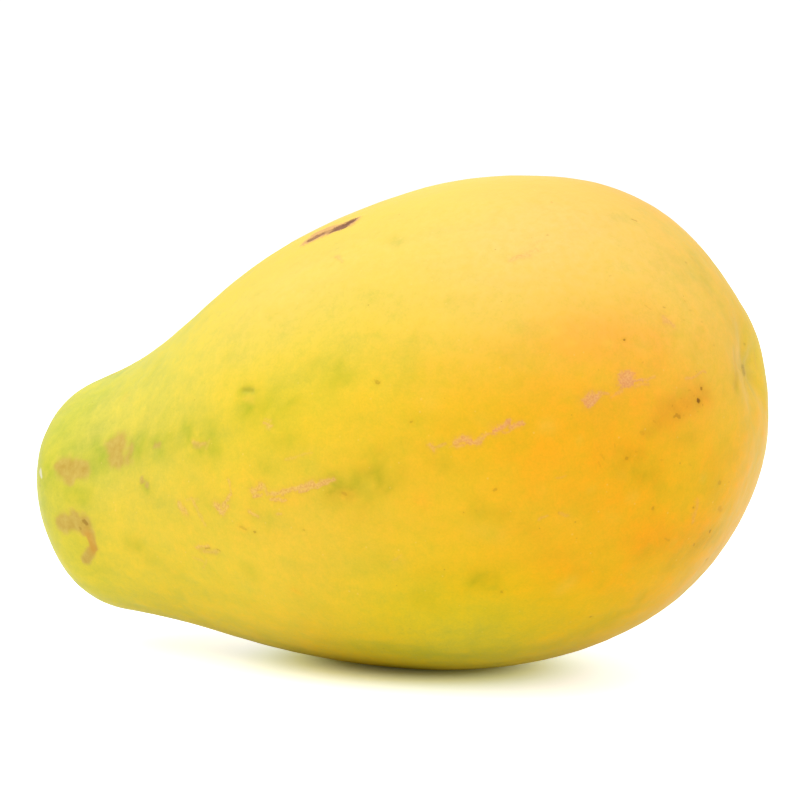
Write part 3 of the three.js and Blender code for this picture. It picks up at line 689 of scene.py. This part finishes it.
# pits and dark specks
colour = blend(math_node("MULTIPLY", pit_f, 0.50), colour, (0.30, 0.29, 0.025))
colour = blend(math_node("MULTIPLY", step(speck_d, 3.2, 0.9), math_node("MULTIPLY", speck_w, 0.22)), colour, (0.42, 0.21, 0.004))
speck_on = math_node("MULTIPLY", step(math_node("ADD", speck_d, around(grit, 0.4)), 1.25, 0.55), speck_w)
colour = blend(math_node("MULTIPLY", speck_on, 0.88), colour, (0.17, 0.060, 0.003))

# lenticels: tiny pale points, and a few dark ones
vor = tree.nodes.new("ShaderNodeTexVoronoi")
put(vor.inputs["Vector"], mm)
vor.inputs["Scale"].default_value = 0.42
dots, dot_pick = vor.outputs["Distance"], parts(vor.outputs["Color"])
dot_size = step(dot_pick[1], 0.0, 1.0, 0.04, 0.09, smooth=False)
dot_in = math_node("SUBTRACT", dots, dot_size)
pale_dot = math_node("MULTIPLY", step(dot_in, 0.05, -0.01), step(dot_pick[0], 0.62, 0.66))
colour = blend(math_node("MULTIPLY", pale_dot, 0.26), colour, (0.72, 0.50, 0.14))
dark_dot = math_node("MULTIPLY", step(dot_in, 0.04, -0.02), step(dot_pick[0], 0.080, 0.060))
colour = blend(math_node("MULTIPLY", dark_dot, 0.42), colour, (0.30, 0.16, 0.02))

# stalk end and blossom end
colour = blend(step(stalk_d, 13.0, 7.0, 0.0, 0.40), colour, (0.30, 0.36, 0.035))
scar_on = step(stalk_d, 7.0, 6.0)
scar_col = blend(crumb, (0.20, 0.13, 0.07), (0.44, 0.35, 0.24))
scar_col = blend(math_node("MULTIPLY", latex_f, 0.75), scar_col, (0.66, 0.62, 0.52))
colour = blend(scar_on, colour, scar_col)
colour = blend(step(tip_d, 8.0, 2.0, 0.0, 0.38), colour, (0.42, 0.34, 0.06))
tip_on = step(tip_d, 1.9, 0.9)
colour = blend(math_node("MULTIPLY", tip_on, 0.50), colour, blend(grit, (0.17, 0.11, 0.03), (0.36, 0.27, 0.10)))

colour = blend(step(attribute("dry")[0], 0.2, 0.7, 0.0, 0.72), colour, (0.60, 0.58, 0.47))
put(shader.inputs["Base Color"], colour)

# satin: duller on cork, tan and scars
rough = math_node("ADD", 0.405, math_node("ADD", around(crumb, 0.10), around(grit, 0.05)))
for mask, amount in ((cork_on, 0.16), (tan_on, 0.14), (edge_on, 0.15), (rub_on, 0.18), (scar_on, 0.30), (tip_on, 0.20)):
    rough = math_node("ADD", rough, math_node("MULTIPLY", mask, amount))
put(shader.inputs["Roughness"], math_node("MINIMUM", rough, 0.85))
shader.inputs["Specular IOR Level"].default_value = 0.07

# height in millimetres
height = math_node("ADD", around(crumb, 0.022), around(grit, 0.012))
bump = tree.nodes.new("ShaderNodeBump")
bump.inputs["Strength"].default_value = 1.0
bump.inputs["Distance"].default_value = 0.001
put(bump.inputs["Height"], height)
put(shader.inputs["Normal"], bump.outputs["Normal"])
mesh.materials.append(rind)

# ---------------------------------------------------------------------------
# Studio
# ---------------------------------------------------------------------------
bpy.ops.mesh.primitive_circle_add(vertices=96, radius=4.0, fill_type="NGON", location=(0, 0, 0))
floor = bpy.context.object
floor.name = "floor"
# strength of the painted floor glow for bounce rays, and the floor colour bounce rays see away from the painted shadow
FLOOR_FILL, FLOOR_BOUNCE = 0.44, 0.80
fm = bpy.data.materials.new("floor_white")
fm.use_nodes = True
ft = fm.node_tree
fb = ft.nodes["Principled BSDF"]
fb.inputs["Roughness"].default_value = 0.4
# painted light: the floor glows though it is no lamp, with a painted shadow (no glow) right under the fruit and a
# painted warm yellow bounce in the glow near it
fc = ft.nodes.new("ShaderNodeTexCoord")
fmap = ft.nodes.new("ShaderNodeMapping")
fmap.inputs["Location"].default_value = (-0.006, 0, 0)
fmap.inputs["Scale"].default_value = (0.84, 1.0, 1.0)
ft.links.new(fc.outputs["Object"], fmap.inputs["Vector"])
flen = ft.nodes.new("ShaderNodeVectorMath")
flen.operation = "LENGTH"
ft.links.new(fmap.outputs["Vector"], flen.inputs[0])
painted_glow_falloff = ft.nodes.new("ShaderNodeMapRange")
painted_glow_falloff.interpolation_type = "SMOOTHSTEP"
for key, value in (("From Min", 0.006), ("From Max", 0.048), ("To Min", 0.0), ("To Max", 1.0)):
    painted_glow_falloff.inputs[key].default_value = value
ft.links.new(flen.outputs["Value"], painted_glow_falloff.inputs["Value"])
painted_glow_colour = ft.nodes.new("ShaderNodeValToRGB")
painted_glow_colour.color_ramp.elements[0].color = (0.0, 0.0, 0.0, 1)
painted_glow_colour.color_ramp.elements[1].color = (0.56, 0.56, 0.56, 1)
for at, glow in ((0.17, (0.10, 0.09, 0.018)), (0.43, (0.36, 0.355, 0.16)), (0.68, (0.47, 0.50, 0.40)), (0.87, (0.52, 0.54, 0.54))):
    e = painted_glow_colour.color_ramp.elements.new(at)
    e.color = (*glow, 1)
ft.links.new(painted_glow_falloff.outputs["Result"], painted_glow_colour.inputs["Fac"])
ft.links.new(painted_glow_colour.outputs["Color"], fb.inputs["Emission Color"])
# painted shadow: for bounce rays the floor's colour goes dark toward the fruit
painted_floor_shadow = ft.nodes.new("ShaderNodeMapRange")
painted_floor_shadow.interpolation_type = "SMOOTHSTEP"
for key, value in (("From Min", 0.008), ("From Max", 0.040), ("To Min", 0.0), ("To Max", FLOOR_BOUNCE)):
    painted_floor_shadow.inputs[key].default_value = value
ft.links.new(flen.outputs["Value"], painted_floor_shadow.inputs["Value"])
fpath = ft.nodes.new("ShaderNodeLightPath")
# camera rays see the full painted glow on a plain 0.88 white; other rays see a weaker glow and the painted dark patch
# by the fruit
for socket, low, high in ((fb.inputs["Emission Strength"], FLOOR_FILL, 1.0), (fb.inputs["Base Color"], None, 0.88)):
    fsee = ft.nodes.new("ShaderNodeMapRange")
    if low is None:
        ft.links.new(painted_floor_shadow.outputs["Result"], fsee.inputs["To Min"])
    else:
        fsee.inputs["To Min"].default_value = low
    fsee.inputs["To Max"].default_value = high
    ft.links.new(fpath.outputs["Is Camera Ray"], fsee.inputs["Value"])
    ft.links.new(fsee.outputs["Result"], socket)
floor.data.materials.append(fm)

scene = bpy.context.scene
world = bpy.data.worlds.new("studio")
scene.world = world
world.use_nodes = True
bg = world.node_tree.nodes["Background"]
SKY_FRONT, SKY_BACK, SKY_UP = 0.38, 0.80, 1.02
wt = world.node_tree


def wmath(op, a, b=None):
    node = wt.nodes.new("ShaderNodeMath")
    node.operation = op
    for slot, value in ((0, a), (1, b)):
        if value is None:
            continue
        if isinstance(value, (int, float)):
            node.inputs[slot].default_value = value
        else:
            wt.links.new(value, node.inputs[slot])
    return node.outputs[0]


coord = wt.nodes.new("ShaderNodeTexCoord")
split = wt.nodes.new("ShaderNodeSeparateXYZ")
wt.links.new(coord.outputs["Generated"], split.inputs[0])
rear = wmath("ADD", wmath("MULTIPLY", split.outputs["Y"], 0.5), 0.5)
high = wmath("MAXIMUM", split.outputs["Z"], 0.0)
level = wmath("ADD", wmath("MULTIPLY", rear, SKY_BACK - SKY_FRONT), wmath("MULTIPLY", high, SKY_UP))
level = wmath("ADD", level, SKY_FRONT)
path = wt.nodes.new("ShaderNodeLightPath")
choose = wt.nodes.new("ShaderNodeMix")
wt.links.new(path.outputs["Is Camera Ray"], choose.inputs["Factor"])
wt.links.new(level, choose.inputs["A"])
choose.inputs["B"].default_value = 1.1
bg.inputs["Color"].default_value = (1, 1, 1, 1)
wt.links.new(choose.outputs["Result"], bg.inputs["Strength"])


def softbox(name, location, target, size, watts):
    data = bpy.data.lights.new(name, "AREA")
    data.shape = "RECTANGLE"
    data.size, data.size_y = size
    data.energy = watts
    obj = bpy.data.objects.new(name, data)
    obj.location = location
    obj.rotation_euler = (Vector(target) - Vector(location)).to_track_quat("-Z", "Y").to_euler()
    scene.collection.objects.link(obj)


softbox("overhead", (-0.2, -0.35, 1.0), (0, 0, 0.05), (1.4, 1.2), 9.6)
scene.view_settings.view_transform = "Standard"

# camera
AZ, EL, D = math.radians(22), math.radians(5), 620.0
FOCAL, CX, CY = 2540.99, 2.491, 63.97
back = Vector((math.sin(AZ) * math.cos(EL), -math.cos(AZ) * math.cos(EL), math.sin(EL)))
right = Vector((math.cos(AZ), math.sin(AZ), 0))
up = back.cross(right)
place = (right * CX + up * CY + back * D - Vector(SHIFT)) / 1000
cam = bpy.data.cameras.new("camera")
cam.sensor_width = 36
cam.lens = FOCAL / 800 * 36
camera = bpy.data.objects.new("camera", cam)
camera.matrix_world = Matrix((
    (right.x, up.x, back.x, place.x),
    (right.y, up.y, back.y, place.y),
    (right.z, up.z, back.z, place.z),
    (0, 0, 0, 1)))
scene.collection.objects.link(camera)
scene.camera = camera
